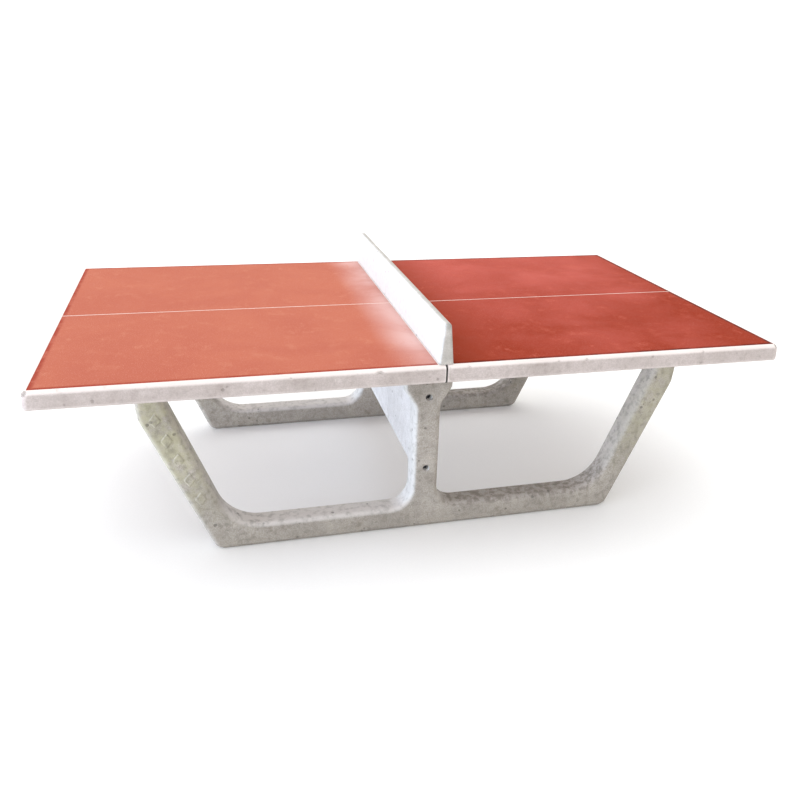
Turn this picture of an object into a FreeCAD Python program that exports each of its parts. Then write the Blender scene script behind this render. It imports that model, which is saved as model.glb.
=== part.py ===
import FreeCAD, Part
import math
import os
from FreeCAD import Vector

# Outdoor ping pong table of precast concrete, in millimetres.
# X runs along the table, Y across it and Z up. The origin is on the ground under the middle of the net.

# Table top: two reinforced half slabs that meet under the net
table_length = 2740.0
table_width = 1525.0
table_height = 760.0
slab_thickness = 65.0
slab_edge_round = 15.0
slab_corner_round = 20.0
slab_under_chamfer = 6.0
joint_width = 7.0
seal_end_recess = 5.0
seal_top_recess = 8.0

# Coloured topping cast into each half slab, and the line inlaid in it
surface_thickness = 6.0
surface_border = 16.0
surface_net_clearance = 1.0
line_width = 4.0
line_depth = 2.0

# Net: a solid tapered wall that stands over the joint
net_height = 152.5
net_base_width = 56.0
net_top_width = 31.0
net_end_recess = 8.0
net_end_round = 12.0
net_stud_diameter = 12.0
net_stud_spacing = 400.0
net_stud_in_net = 90.0
net_stud_in_wall = 50.0
net_stud_clearance = 3.0
net_bar_cover = 38.0
net_bar_end_cover = 45.0

# Side frames: a ground beam, two leaning arms and a column with a flared head
frame_thickness = 100.0
frame_edge_chamfer = 14.0
side_overhang = 202.5
end_overhang = 298.0
arm_run = 278.0
arm_collar_height = 152.0
arm_collar_run = 20.0
arm_top_width = 72.0
foot_round = 38.0
beam_height = 92.0
bay_corner_inset = 58.0
bay_round = 172.0
column_width = 106.0
column_root_round = 80.0
head_width = 196.0
head_height = 107.0
flare_height = 70.0
flare_round = 60.0

# Plain raised lozenges on one arm of each frame
relief_count = 5
relief_above_ground = 220.0
relief_below_top = 152.0
relief_gap = 22.0
relief_width = 44.0
relief_proud = 3.0

# Cross wall that ties the two columns together
wall_thickness = 60.0
wall_ground_gap = 215.0
wall_chamfer = 6.0

# Bolts through the columns into sockets cast in the ends of the cross wall
bolt_diameter = 12.0
bolt_hole_clearance = 2.0
bolt_head_diameter = 18.0
bolt_head_height = 12.0
bolt_key_width = 10.0
bolt_key_depth = 6.0
bolt_recess_diameter = 26.0
bolt_recess_depth = 32.0
bolt_engagement = 45.0
bolt_below_top = 140.0
bolt_above_wall_foot = 41.0
washer_diameter = 24.0
washer_thickness = 2.5
socket_diameter = 20.0
socket_length = 70.0
thread_clearance = 0.2

# Rubber pads and steel dowels between the frames and the slabs
pad_thickness = 3.0
pad_depth = 68.0
arm_pad_width = 50.0
head_pad_width = 62.0
head_pad_from_middle = 12.0
dowel_diameter = 16.0
dowel_in_frame = 45.0
dowel_in_slab = 25.0
dowel_clearance = 2.0

# Welded reinforcement: crossing bars bite into each other by the weld depth
slab_bar = 8.0
slab_bar_below_top = 27.0
slab_bar_cover = 40.0
slab_bars_along = 5
slab_bars_across = 6
frame_bar = 10.0
frame_bar_cover = 26.0
frame_tie_pitch = 130.0
wall_bar = 8.0
wall_bar_cover = 30.0
wall_bar_end_cover = 90.0
wall_bars_along = 3
wall_bars_upright = 4
net_bar = 8.0
weld_depth = 1.0

# Places worked out from the sizes above
half_length = table_length / 2
half_width = table_width / 2
half_joint = joint_width / 2
slab_bottom = table_height - slab_thickness
frame_top = slab_bottom - pad_thickness
frame_outer = half_width - side_overhang
frame_inner = frame_outer - frame_thickness
frame_middle = (frame_outer + frame_inner) / 2
arm_top = half_length - end_overhang
arm_inner_top = arm_top - arm_top_width
foot = arm_top - arm_run
bay_corner = foot - bay_corner_inset
collar_x = arm_top - arm_collar_run
collar_z = frame_top - arm_collar_height
bolt_heights = (wall_ground_gap + bolt_above_wall_foot, frame_top - bolt_below_top)
net_stud_places = (-net_stud_spacing, 0.0, net_stud_spacing)
surface_start = net_base_width / 2 + surface_net_clearance
surface_end = half_length - surface_border
surface_side = half_width - surface_border
arm_dowel_x = (arm_top + arm_inner_top) / 2
head_dowel_x = head_pad_from_middle + head_pad_width / 2

TINY = 0.001
AXIS_X = Vector(1, 0, 0)
AXIS_Z = Vector(0, 0, 1)


def box(x0, x1, y0, y1, z0, z1):
    return Part.makeBox(x1 - x0, y1 - y0, z1 - z0, Vector(x0, y0, z0))


def rod(diameter, start, end):
    return Part.makeCylinder(diameter / 2, (end - start).Length, start, end - start)


def mirrored(shape):
    # the same piece on the other half of the table
    return shape.mirror(Vector(0, 0, 0), AXIS_X)


def turned(shape):
    # the same piece on the other frame, half a turn round the middle
    return shape.rotated(Vector(0, 0, 0), AXIS_Z, 180)


def rounded_outline(corners):
    # a closed outline in the XZ plane from (x, z, radius) corners
    points = [Vector(x, 0, z) for x, z, radius in corners]
    turns = []
    for i, (x, z, radius) in enumerate(corners):
        back = (points[i - 1] - points[i]).normalize()
        ahead = (points[(i + 1) % len(points)] - points[i]).normalize()
        half_angle = back.getAngle(ahead) / 2
        reach = radius / math.tan(half_angle)
        depth = radius / math.sin(half_angle) - radius
        middle = points[i] + (back + ahead).normalize() * depth
        turns.append((points[i] + back * reach, middle, points[i] + ahead * reach))
    edges = []
    for i, (start, middle, end) in enumerate(turns):
        if corners[i][2] > 0:
            edges.append(Part.Arc(start, middle, end).toShape())
        edges.append(Part.LineSegment(end, turns[(i + 1) % len(turns)][0]).toShape())
    return Part.Wire(edges)


def plate(corners, y0, y1):
    # an outline in the XZ plane made solid between two values of Y
    face = Part.Face(rounded_outline(corners))
    return face.translated(Vector(0, y0, 0)).extrude(Vector(0, y1 - y0, 0))


def spaced(first, last, count):
    return [first + (last - first) * i / (count - 1) for i in range(count)]


def welded(bars):
    return bars[0].multiFuse(bars[1:]).removeSplitter()


# ---- table top ----

def slab_blank():
    blank = box(half_joint, half_length, -half_width, half_width, slab_bottom, table_height)
    corners = [edge for edge in blank.Edges
               if all(abs(vertex.X - half_length) < TINY for vertex in edge.Vertexes)
               and abs(edge.Vertexes[0].Z - edge.Vertexes[1].Z) > TINY]
    blank = blank.makeFillet(slab_corner_round, corners)
    blank = blank.makeFillet(slab_edge_round, rim_edges(blank, table_height))
    return blank.makeChamfer(slab_under_chamfer, rim_edges(blank, slab_bottom))


def rim_edges(slab, z):
    # the free edges at one height, without the edge along the joint
    def on_rim(edge):
        level = all(abs(vertex.Z - z) < TINY for vertex in edge.Vertexes)
        return level and any(abs(vertex.X - half_joint) > TINY for vertex in edge.Vertexes)
    return [edge for edge in slab.Edges if on_rim(edge)]


def slab_mesh():
    low = table_height - slab_bar_below_top
    high = low + slab_bar - weld_depth
    x0 = half_joint + slab_bar_cover
    x1 = half_length - slab_bar_cover
    side = half_width - slab_bar_cover
    bars = [rod(slab_bar, Vector(x0, y, low), Vector(x1, y, low))
            for y in spaced(slab_bar - side, side - slab_bar, slab_bars_along)]
    bars += [rod(slab_bar, Vector(x, -side, high), Vector(x, side, high))
             for x in spaced(x0 + slab_bar, x1 - slab_bar, slab_bars_across)]
    return welded(bars)


def surface_blank():
    bottom = table_height - surface_thickness
    return box(surface_start, surface_end, -surface_side, surface_side, bottom, table_height)


def centre_line():
    half = line_width / 2
    return box(surface_start, surface_end, -half, half, table_height - line_depth, table_height)


def dowel_holes_in_slab():
    hole = dowel_diameter + dowel_clearance
    top = slab_bottom + dowel_in_slab + dowel_clearance
    return [rod(hole, Vector(x, y, slab_bottom), Vector(x, y, top))
            for x in (arm_dowel_x, head_dowel_x) for y in (-frame_middle, frame_middle)]


def stud_ways():
    way = net_stud_diameter + 2 * net_stud_clearance
    return [rod(way, Vector(0, y, slab_bottom), Vector(0, y, table_height)) for y in net_stud_places]


def right_slab():
    cuts = [surface_blank(), slab_mesh()] + dowel_holes_in_slab() + stud_ways()
    return slab_blank().cut(cuts)


def joint_seal():
    side = half_width - seal_end_recess
    strip = box(-half_joint, half_joint, -side, side, slab_bottom, table_height - seal_top_recess)
    return strip.cut(stud_ways())


# ---- net ----

def net_blank():
    shoulder = table_height + net_height - net_top_width / 2
    foot_left = Vector(-net_base_width / 2, 0, table_height)
    foot_right = Vector(net_base_width / 2, 0, table_height)
    top_left = Vector(-net_top_width / 2, 0, shoulder)
    top_right = Vector(net_top_width / 2, 0, shoulder)
    crown = Vector(0, 0, table_height + net_height)
    sides = [Part.LineSegment(top_right, foot_right), Part.LineSegment(foot_right, foot_left),
             Part.LineSegment(foot_left, top_left), Part.Arc(top_left, crown, top_right)]
    face = Part.Face(Part.Wire([side.toShape() for side in sides]))
    end = half_width - net_end_recess
    blank = face.translated(Vector(0, -end, 0)).extrude(Vector(0, 2 * end, 0))
    return blank.makeFillet(net_end_round, end_edges(blank, end))


def end_edges(net, end):
    # the edges round both ends, without those at the foot
    def chosen(edge):
        ends = edge.Vertexes
        at_end = all(abs(abs(vertex.Y) - end) < TINY for vertex in ends) and ends[0].Y * ends[1].Y > 0
        return at_end and any(vertex.Z > table_height + TINY for vertex in ends)
    return [edge for edge in net.Edges if chosen(edge)]


def net_studs():
    low = frame_top - net_stud_in_wall
    high = table_height + net_stud_in_net
    return [rod(net_stud_diameter, Vector(0, y, low), Vector(0, y, high)) for y in net_stud_places]


def net_rebar():
    end = half_width - net_end_recess - net_bar_end_cover
    z = table_height + net_height - net_bar_cover
    return rod(net_bar, Vector(0, -end, z), Vector(0, end, z))


def net_wall():
    return net_blank().cut(net_studs() + [net_rebar()])


# ---- side frames ----

def frame_outline():
    half = [(foot, 0, foot_round), (collar_x, collar_z, 0), (arm_top, frame_top, 0)]
    return half + [(-x, z, radius) for x, z, radius in reversed(half)]


def bay_outline():
    column = column_width / 2
    head = head_width / 2
    head_foot = frame_top - head_height
    return [(column, beam_height, column_root_round),
            (bay_corner, beam_height, bay_round),
            (arm_inner_top, frame_top, 0),
            (head, frame_top, 0),
            (head, head_foot, 0),
            (column, head_foot - flare_height, flare_round)]


def frame_blank():
    body = plate(frame_outline(), -frame_outer, -frame_inner)
    bay = plate(bay_outline(), -frame_outer, -frame_inner)
    body = body.cut([bay, mirrored(bay)])
    return body.makeChamfer(frame_edge_chamfer, long_edges(body))


def long_edges(body):
    # the edges of the two flat sides, without those of the bearing faces on top
    def chosen(edge):
        ends = edge.Vertexes
        flat = abs(ends[0].Y - ends[1].Y) < TINY
        bearing = all(abs(vertex.Z - frame_top) < TINY for vertex in ends)
        return flat and not bearing
    return [edge for edge in body.Edges if chosen(edge)]


def outer_arm_x(z):
    if z > collar_z:
        return collar_x + arm_collar_run * (z - collar_z) / arm_collar_height
    return foot + (collar_x - foot) * z / collar_z


def inner_arm_x(z):
    return bay_corner + (arm_inner_top - bay_corner) * (z - beam_height) / (frame_top - beam_height)


def relief():
    # a row of lozenges up the middle of the arm, raised from the outer side
    lozenges = []
    heights = spaced(relief_above_ground, frame_top - relief_below_top, relief_count)
    reach = (heights[1] - heights[0] - relief_gap) / 2
    for z in heights:
        x = -(outer_arm_x(z) + inner_arm_x(z)) / 2
        tips = [(x - relief_width / 2, z, 0), (x, z - reach, 0),
                (x + relief_width / 2, z, 0), (x, z + reach, 0)]
        lozenges.append(plate(tips, -frame_outer - relief_proud, -frame_outer + relief_proud))
    return lozenges


def frame_cage():
    # uprights and arm bars lie in one layer, beam bars and ties in the next
    layer = (frame_bar - weld_depth) / 2
    back = -frame_middle + layer
    front = -frame_middle - layer
    return welded(upright_bars(back) + beam_bars(front) + tie_bars(front))


def upright_bars(y):
    low = frame_bar_cover - frame_bar / 2
    high = frame_top - dowel_in_frame - frame_bar
    side = column_width / 2 - frame_bar_cover
    bars = [rod(frame_bar, Vector(x, y, low), Vector(x, y, high)) for x in (-side, side)]
    for sign in (-1, 1):
        for inset in (frame_bar_cover, arm_top_width - frame_bar_cover / 2):
            bars.append(rod(frame_bar, Vector(sign * (foot - inset), y, low), arm_bar_top(sign, inset, y, high)))
    return bars


def arm_bar_top(sign, inset, y, z):
    return Vector(sign * (outer_arm_x(z) - inset), y, z)


def beam_bars(y):
    end = foot - frame_bar_cover / 2
    return [rod(frame_bar, Vector(-end, y, z), Vector(end, y, z))
            for z in (frame_bar_cover, beam_height - frame_bar_cover)]


def tie_bars(y):
    reach = column_width / 2 - frame_bar_cover / 2
    count = int((collar_z - beam_height) / frame_tie_pitch)
    bars = []
    for z in [beam_height + frame_tie_pitch * (i + 0.5) for i in range(count)]:
        bars.append(rod(frame_bar, Vector(-reach, y, z), Vector(reach, y, z)))
        for sign in (-1, 1):
            outer = sign * (outer_arm_x(z) - frame_bar_cover / 2)
            inner = sign * (inner_arm_x(z) + frame_bar_cover / 2)
            bars.append(rod(frame_bar, Vector(inner, y, z), Vector(outer, y, z)))
    return bars


def bolt_bores():
    bores = []
    for z in bolt_heights:
        mouth = Vector(0, -frame_outer, z)
        seat = Vector(0, -frame_outer + bolt_recess_depth, z)
        bores.append(rod(bolt_recess_diameter, mouth, seat))
        bores.append(rod(bolt_diameter + bolt_hole_clearance, seat, Vector(0, -frame_inner, z)))
    return bores


def front_dowels():
    low = frame_top - dowel_in_frame
    high = slab_bottom + dowel_in_slab
    return [rod(dowel_diameter, Vector(x, -frame_middle, low), Vector(x, -frame_middle, high))
            for x in (-arm_dowel_x, -head_dowel_x, head_dowel_x, arm_dowel_x)]


def front_frame():
    body = frame_blank().multiFuse(relief())
    return body.cut(bolt_bores() + front_dowels() + [frame_cage()])


def front_pads(places, width):
    hole = dowel_diameter + dowel_clearance
    pads = []
    for x in places:
        y0 = -frame_middle - pad_depth / 2
        pad = box(x - width / 2, x + width / 2, y0, y0 + pad_depth, frame_top, slab_bottom)
        pads.append(pad.cut(rod(hole, Vector(x, -frame_middle, frame_top), Vector(x, -frame_middle, slab_bottom))))
    return pads


# ---- cross wall and its fixings ----

def wall_blank():
    half = wall_thickness / 2
    blank = box(-half, half, -frame_inner, frame_inner, wall_ground_gap, frame_top)
    lower = [edge for edge in blank.Edges
             if all(abs(vertex.Z - wall_ground_gap) < TINY for vertex in edge.Vertexes)
             and edge.Length > wall_thickness + TINY]
    return blank.makeChamfer(wall_chamfer, lower)


def cross_wall_mesh():
    layer = (wall_bar - weld_depth) / 2
    end = frame_inner - wall_bar_end_cover
    low = wall_ground_gap + wall_bar_cover
    high = frame_top - net_stud_in_wall - wall_bar_cover
    bars = [rod(wall_bar, Vector(-layer, -end, z), Vector(-layer, end, z))
            for z in spaced(low + wall_bar, high - wall_bar, wall_bars_along)]
    bars += [rod(wall_bar, Vector(layer, y, low), Vector(layer, y, high))
             for y in spaced(wall_bar - end, end - wall_bar, wall_bars_upright)]
    return welded(bars)


def end_cylinders(diameter):
    # one cylinder for each bolt, in the front end of the wall
    return [rod(diameter, Vector(0, -frame_inner, z), Vector(0, socket_length - frame_inner, z))
            for z in bolt_heights]


def top_cylinders(diameter):
    # one cylinder for each stud of the net, in the top of the wall
    low = frame_top - net_stud_in_wall
    return [rod(diameter, Vector(0, y, low), Vector(0, y, frame_top)) for y in net_stud_places]


def sleeves(bodies, bores):
    return [body.cut(bore) for body, bore in zip(bodies, bores)]


def front_sockets():
    return sleeves(end_cylinders(socket_diameter), end_cylinders(bolt_diameter + thread_clearance))


def net_sockets():
    return sleeves(top_cylinders(socket_diameter), top_cylinders(net_stud_diameter + thread_clearance))


def cross_wall():
    rooms = end_cylinders(socket_diameter)
    rooms += [turned(room) for room in rooms] + top_cylinders(socket_diameter)
    return wall_blank().cut(rooms + [cross_wall_mesh()])


def key_pocket(y, z):
    # the six-sided pocket in a bolt head
    radius = bolt_key_width / math.sqrt(3)
    corners = [(radius * math.cos(math.radians(60 * i)), z + radius * math.sin(math.radians(60 * i)), 0)
               for i in range(6)]
    return plate(corners, y, y + bolt_key_depth)


def front_bolts():
    under_head = -frame_outer + bolt_recess_depth - washer_thickness
    top = under_head - bolt_head_height
    tip = -frame_inner + bolt_engagement
    bolts = []
    for z in bolt_heights:
        head = rod(bolt_head_diameter, Vector(0, top, z), Vector(0, under_head, z))
        shank = rod(bolt_diameter, Vector(0, under_head - TINY, z), Vector(0, tip, z))
        bolts.append(head.fuse(shank).cut(key_pocket(top, z)))
    return bolts


def front_washers():
    seat = -frame_outer + bolt_recess_depth
    outer = seat - washer_thickness
    bore = bolt_diameter + bolt_hole_clearance / 2
    return [rod(washer_diameter, Vector(0, outer, z), Vector(0, seat, z)).cut(
            rod(bore, Vector(0, outer, z), Vector(0, seat, z))) for z in bolt_heights]


def on_both_frames(pieces):
    return Part.makeCompound(pieces + [turned(piece) for piece in pieces])


def table_parts():
    surface = surface_blank().cut(centre_line())
    frame = front_frame()
    cage = frame_cage()
    return {
        "right_slab": right_slab(),
        "left_slab": mirrored(right_slab()),
        "right_slab_mesh": slab_mesh(),
        "left_slab_mesh": mirrored(slab_mesh()),
        "right_playing_surface": surface,
        "left_playing_surface": mirrored(surface),
        "right_centre_line": centre_line(),
        "left_centre_line": mirrored(centre_line()),
        "joint_seal": joint_seal(),
        "net_wall": net_wall(),
        "net_rebar": net_rebar(),
        "net_studs": Part.makeCompound(net_studs()),
        "net_stud_sockets": Part.makeCompound(net_sockets()),
        "front_frame": frame,
        "rear_frame": turned(frame),
        "front_frame_cage": cage,
        "rear_frame_cage": turned(cage),
        "cross_wall": cross_wall(),
        "cross_wall_mesh": cross_wall_mesh(),
        "frame_bolts": on_both_frames(front_bolts()),
        "bolt_washers": on_both_frames(front_washers()),
        "wall_sockets": on_both_frames(front_sockets()),
        "arm_pads": on_both_frames(front_pads((-arm_dowel_x, arm_dowel_x), arm_pad_width)),
        "column_pads": on_both_frames(front_pads((-head_dowel_x, head_dowel_x), head_pad_width)),
        "slab_dowels": on_both_frames(front_dowels()),
    }


os.makedirs("parts", exist_ok=True)
for name, shape in table_parts().items():
    shape.exportStep("parts/" + name + ".step")
    print(name, len(shape.Solids), "solids,", round(shape.Volume / 1000, 1), "cm3, valid", shape.isValid())
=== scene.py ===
import math
import random

import bmesh
import bpy
import numpy as np
from mathutils import Matrix, Vector


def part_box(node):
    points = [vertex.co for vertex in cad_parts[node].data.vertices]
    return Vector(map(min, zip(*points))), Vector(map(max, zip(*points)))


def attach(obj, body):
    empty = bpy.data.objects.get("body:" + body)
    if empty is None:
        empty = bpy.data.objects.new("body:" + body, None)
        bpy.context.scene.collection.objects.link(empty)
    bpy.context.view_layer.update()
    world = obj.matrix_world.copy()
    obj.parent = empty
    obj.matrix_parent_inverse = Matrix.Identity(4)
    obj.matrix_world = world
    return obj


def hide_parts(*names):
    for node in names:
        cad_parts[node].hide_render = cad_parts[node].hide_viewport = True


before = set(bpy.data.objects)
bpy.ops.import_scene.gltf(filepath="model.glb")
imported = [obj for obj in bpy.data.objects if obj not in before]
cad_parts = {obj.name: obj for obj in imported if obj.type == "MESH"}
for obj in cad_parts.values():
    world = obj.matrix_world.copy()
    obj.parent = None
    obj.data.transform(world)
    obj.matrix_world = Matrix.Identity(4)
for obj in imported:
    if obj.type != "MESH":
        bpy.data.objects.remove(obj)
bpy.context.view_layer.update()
print("stage 1: packed table loaded")

body = "root"  # nothing on this table moves, so every piece rides on one body


def hexColour(code):
    # "#RRGGBB" in sRGB to the linear colour a shader wants
    channels = [int(code[i:i + 2], 16) / 255 for i in (1, 3, 5)]
    linear = [c / 12.92 if c <= 0.04045 else ((c + 0.055) / 1.055) ** 2.4 for c in channels]
    return (*linear, 1.0)


def linearLook(look):
    # the same look with its hex colours turned to linear ones
    return {key: hexColour(value) if isinstance(value, str) else value for key, value in look.items()}


def patternScale(millimetres):
    # the scale that gives a texture features of this size on Object coordinates in metres
    return 1000 / millimetres


def addNode(tree, kind, links=None, **settings):
    # links holds what goes in each input: a plain value, an output, or a node, whose first live output is taken
    node = tree.nodes.new(kind)
    for name, value in settings.items():
        setattr(node, name, value)
    for key, value in (links or {}).items():
        if isinstance(value, bpy.types.Node):
            value = next(output for output in value.outputs if output.enabled)
        if isinstance(value, bpy.types.NodeSocket):
            tree.links.new(value, node.inputs[key])
        else:
            node.inputs[key].default_value = value
    return node


eased = {"interpolation_type": "SMOOTHSTEP"}  # for a range that starts and stops softly


def startMaterial(name):
    material = bpy.data.materials.new(name)
    material.use_nodes = True
    material.node_tree.nodes.clear()
    tree = material.node_tree
    return material, tree, addNode(tree, "ShaderNodeTexCoord").outputs["Object"]


def layOn(tree, colour, *layers):
    # each layer's tint covers the colour by up to its depth, where its mask runs from low to high;
    # a depth can be a row of its own: a pattern, where that starts and ends, and the depths there
    for mask, low, high, depth, tint in layers:
        if isinstance(depth, tuple):
            depth = addNode(tree, "ShaderNodeMapRange", dict(enumerate(depth)), **eased)
        share = addNode(tree, "ShaderNodeMapRange", {0: mask, 1: low, 2: high, 4: depth}, **eased)
        colour = addNode(tree, "ShaderNodeMix", {0: share, 6: colour, 7: tint}, data_type="RGBA")
    return colour


def finishMaterial(tree, colour, roughness, height, bump, **fixed):
    # height is a pattern from 0 to 1, and bump its depth in metres
    relief = addNode(tree, "ShaderNodeBump", {"Height": height, "Distance": bump, "Strength": 1.0})
    shader = addNode(tree, "ShaderNodeBsdfPrincipled",
                     {"Base Color": colour, "Roughness": roughness, "Normal": relief, **fixed})
    addNode(tree, "ShaderNodeOutputMaterial", {"Surface": shader})


def castConcrete(name, look):
    # Cast concrete: grey cement, sand and fine stone vibrated in a steel mould, then left outdoors.
    # The eye gets pale and dark clouds, grimy mottling, a sandy speckle, a few air pits and rubbed edges;
    # painted light pales the faces turned to the left, the upward faces along with their lime, and the slabs'
    # upper edge.
    material, tree, place = startMaterial(name)
    look = linearLook(look)
    clouds, patches, mottle, sand = (
        addNode(tree, "ShaderNodeTexNoise", {"Vector": place, "Scale": patternScale(look[size]),
                                             "Detail": detail, "Roughness": rough, "Distortion": twist})
        for size, detail, rough, twist in (("cloudSize", 4.0, 0.6, 0.4), ("patchSize", 5.0, 0.65, 0.0),
                                           ("mottleSize", 4.0, 0.66, 0.0), ("sandSize", 2.0, 0.7, 0.0)))
    # rain runs: noise drawn out down the height
    drawn = addNode(tree, "ShaderNodeMapping", {"Vector": place, "Scale": (1.0, 1.0, 0.07)})
    runs = addNode(tree, "ShaderNodeTexNoise", {
        "Vector": drawn, "Scale": patternScale(look["runWidth"]), "Detail": 3.0, "Roughness": 0.5})
    spot = addNode(tree, "ShaderNodeSeparateXYZ", {0: place})
    across, high = spot.outputs["X"], spot.outputs["Z"]
    outward = addNode(tree, "ShaderNodeMath", {0: across}, operation="ABSOLUTE")
    facing = addNode(tree, "ShaderNodeNewGeometry").outputs["Normal"]
    facing = addNode(tree, "ShaderNodeSeparateXYZ", {0: facing})
    upward, sideways = facing.outputs["Z"], facing.outputs["X"]
    # algae greens the left arm more than the right
    greener = addNode(tree, "ShaderNodeMapRange", {
        0: across, 1: 0.6, 2: -0.6, 3: look["growthDepth"] * 0.6, 4: look["growthDepth"]})
    growth = addNode(tree, "ShaderNodeMapRange", {0: patches, 1: 0.3, 2: 0.6, 4: greener}, **eased)
    # lime settles on what faces up, and painted light from above pales it too; on the foot beam right of the
    # column dark grime lies over it
    rightHere = addNode(tree, "ShaderNodeMapRange", {0: across, 1: 0.0, 2: 0.12}, **eased)
    rightBeam = addNode(tree, "ShaderNodeMapRange", {0: high, 1: 0.26, 2: 0.15, 4: rightHere}, **eased)
    limeAndTopLight = addNode(tree, "ShaderNodeMapRange", {
        0: rightBeam, 3: look["limeAndTopLightDepth"], 4: look["limeAndTopLightDepth"] * 0.35})
    grimeHere = addNode(tree, "ShaderNodeMapRange", {
        0: mottle, 1: 0.4, 2: 0.6, 3: look["grimeDepth"] * 0.4, 4: look["grimeDepth"]}, **eased)
    grime = addNode(tree, "ShaderNodeMapRange", {0: rightBeam, 4: grimeHere})
    # air pits: cells of a Voronoi, of which a noise keeps about one in four
    cells = addNode(tree, "ShaderNodeTexVoronoi", {"Vector": place, "Scale": patternScale(look["pitSpacing"])})
    scatter = addNode(tree, "ShaderNodeTexNoise", {
        "Vector": place, "Detail": 1.0, "Roughness": 0.55, "Scale": patternScale(look["pitSpacing"] * 1.7)})
    kept = addNode(tree, "ShaderNodeMapRange", {0: scatter, 1: 0.5, 2: 0.6, 4: 1.0}, **eased)
    holes = addNode(tree, "ShaderNodeMapRange", {0: cells, 1: 0.2, 2: 0.1, 4: kept}, **eased)
    worn = addNode(tree, "ShaderNodeAttribute", attribute_name="wear").outputs["Fac"]
    broken = addNode(tree, "ShaderNodeAttribute", attribute_name="broken").outputs["Fac"]
    colour = layOn(tree, look["dark"],
                   (clouds, 0.3, 0.7, 1.0, look["light"]),
                   (patches, 0.52, 0.8, look["patchDepth"], look["stain"]),
                   (patches, 0.46, 0.22, look["patchDepth"], look["bloom"]),
                   (sand, 0.3, 0.7, look["sandDepth"], look["sandColour"]),
                   (runs, 0.55, 0.8, look["runDepth"], look["stain"]),
                   # the arms stand out in the rain, so algae and grime take them first
                   (high, look["growthLow"], look["growthHigh"], (outward, 0.55, 0.95, 0.0, growth),
                    look["growthColour"]),
                   (high, 0.13, 0.0, (clouds, 0.35, 0.7, 0.1, look["soilDepth"]), look["soilColour"]),
                   # lime with painted top light on upward faces
                   (upward, 0.15, 0.8, limeAndTopLight, look["limeAndTopLight"]),
                   # painted light: faces turned to the left, towards the left lamp, are painted paler, most in
                   # the middle of the table
                   (sideways, -0.35, -0.8, (outward, 0.5, 0.2, look["leftLightDepth"] * 0.25, look["leftLightDepth"]),
                    look["leftLightColour"]),
                   (upward, 0.05, 0.6, grime, look["grimeColour"]),
                   (mottle, 0.45, 0.7, (outward, 0.35, 0.7, look["mottleDepth"], look["armMottleDepth"]),
                    look["mottleColour"]),
                   (holes, 0.0, 1.0, look["pitDepth"], look["pitColour"]),
                   # painted light: the upper edge is painted paler, as lit from above; the arrises take the
                   # edge colour, pale where hands and knees rub them, darker on the net
                   (high, look["topLightLow"], look["topLightHigh"],
                    (clouds, 0.3, 0.7, look["topLightDepth"] * 0.85, look["topLightDepth"]), look["edgeAndTopLightColour"]),
                   (worn, 0.0, 1.0, (patches, 0.3, 0.6, look["wearDepth"] * 0.35, look["wearDepth"]),
                    look["edgeAndTopLightColour"]),
                   (broken, 0.15, 0.8, look["chipDepth"], look["chipColour"]))
    # the relief is sand and patches, less the pits
    relief = addNode(tree, "ShaderNodeMath", {0: sand, 1: 0.35}, operation="MULTIPLY")
    relief = addNode(tree, "ShaderNodeMath", {0: patches, 1: 0.5, 2: relief}, operation="MULTIPLY_ADD")
    relief = addNode(tree, "ShaderNodeMath", {0: holes, 1: -1.6, 2: relief}, operation="MULTIPLY_ADD")
    rough = addNode(tree, "ShaderNodeMapRange", {
        0: patches, 1: 0.3, 2: 0.7, 3: look["rough"] - 0.06, 4: look["rough"] + 0.05}, **eased)
    finishMaterial(tree, colour, rough, relief, look["bump"], IOR=1.5)
    return material


concreteLook = {
    "dark": "#A19B93", "light": "#C0B9B1",
    "stain": "#7B7266", "bloom": "#C5BCB1", "patchDepth": 0.8,
    "mottleColour": "#67645A", "mottleDepth": 0.32, "armMottleDepth": 0.45,
    # the lime colour also stands for painted light on upward faces
    "sandColour": "#736A5F", "sandDepth": 0.5, "limeAndTopLight": "#DFDAD6", "limeAndTopLightDepth": 0.75,
    "grimeColour": "#6B6055", "grimeDepth": 0.6, "runDepth": 0.25,
    # painted light: faces turned to the left are painted towards this paler colour
    "leftLightColour": "#D9DBDA", "leftLightDepth": 0.75,
    "growthColour": "#B4B093", "growthDepth": 0.7, "growthLow": 0.02, "growthHigh": 0.4,
    "soilColour": "#8A8272", "soilDepth": 0.45, "pitColour": "#57534B", "pitDepth": 0.55,
    "chipColour": "#7D746A", "chipDepth": 0.0, "edgeAndTopLightColour": "#D2CEC6", "wearDepth": 0.35,
    "cloudSize": 260.0, "patchSize": 45.0, "mottleSize": 24.0, "sandSize": 4.5, "runWidth": 22.0,
    "pitSpacing": 40.0, "rough": 0.9, "bump": 0.0012, "topLightLow": 5.0, "topLightHigh": 6.0, "topLightDepth": 0.0,
}
# white cement for what the players see: slab rims and net
whiteLook = {
    **concreteLook,
    "dark": "#B4A9A4", "light": "#C7BCB8",
    "stain": "#9E918A", "bloom": "#D4CBC7", "patchDepth": 0.6,
    "mottleColour": "#857A72", "mottleDepth": 0.25, "armMottleDepth": 0.25,
    "grimeDepth": 0.0, "leftLightDepth": 0.0,
    "sandColour": "#8F847B", "sandDepth": 0.35, "limeAndTopLightDepth": 0.0, "runDepth": 0.14,
    "growthDepth": 0.0, "soilDepth": 0.0, "pitDepth": 0.4, "chipDepth": 0.7,
    # painted light: the slab's band above these heights is painted paler, as lit from above
    "topLightLow": 0.744, "topLightHigh": 0.754, "topLightDepth": 0.85,
    "edgeAndTopLightColour": "#EFE5E0", "wearDepth": 0.5, "rough": 0.85, "bump": 0.0008,
}
frameConcrete = castConcrete("greyCastConcrete", concreteLook)
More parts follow.
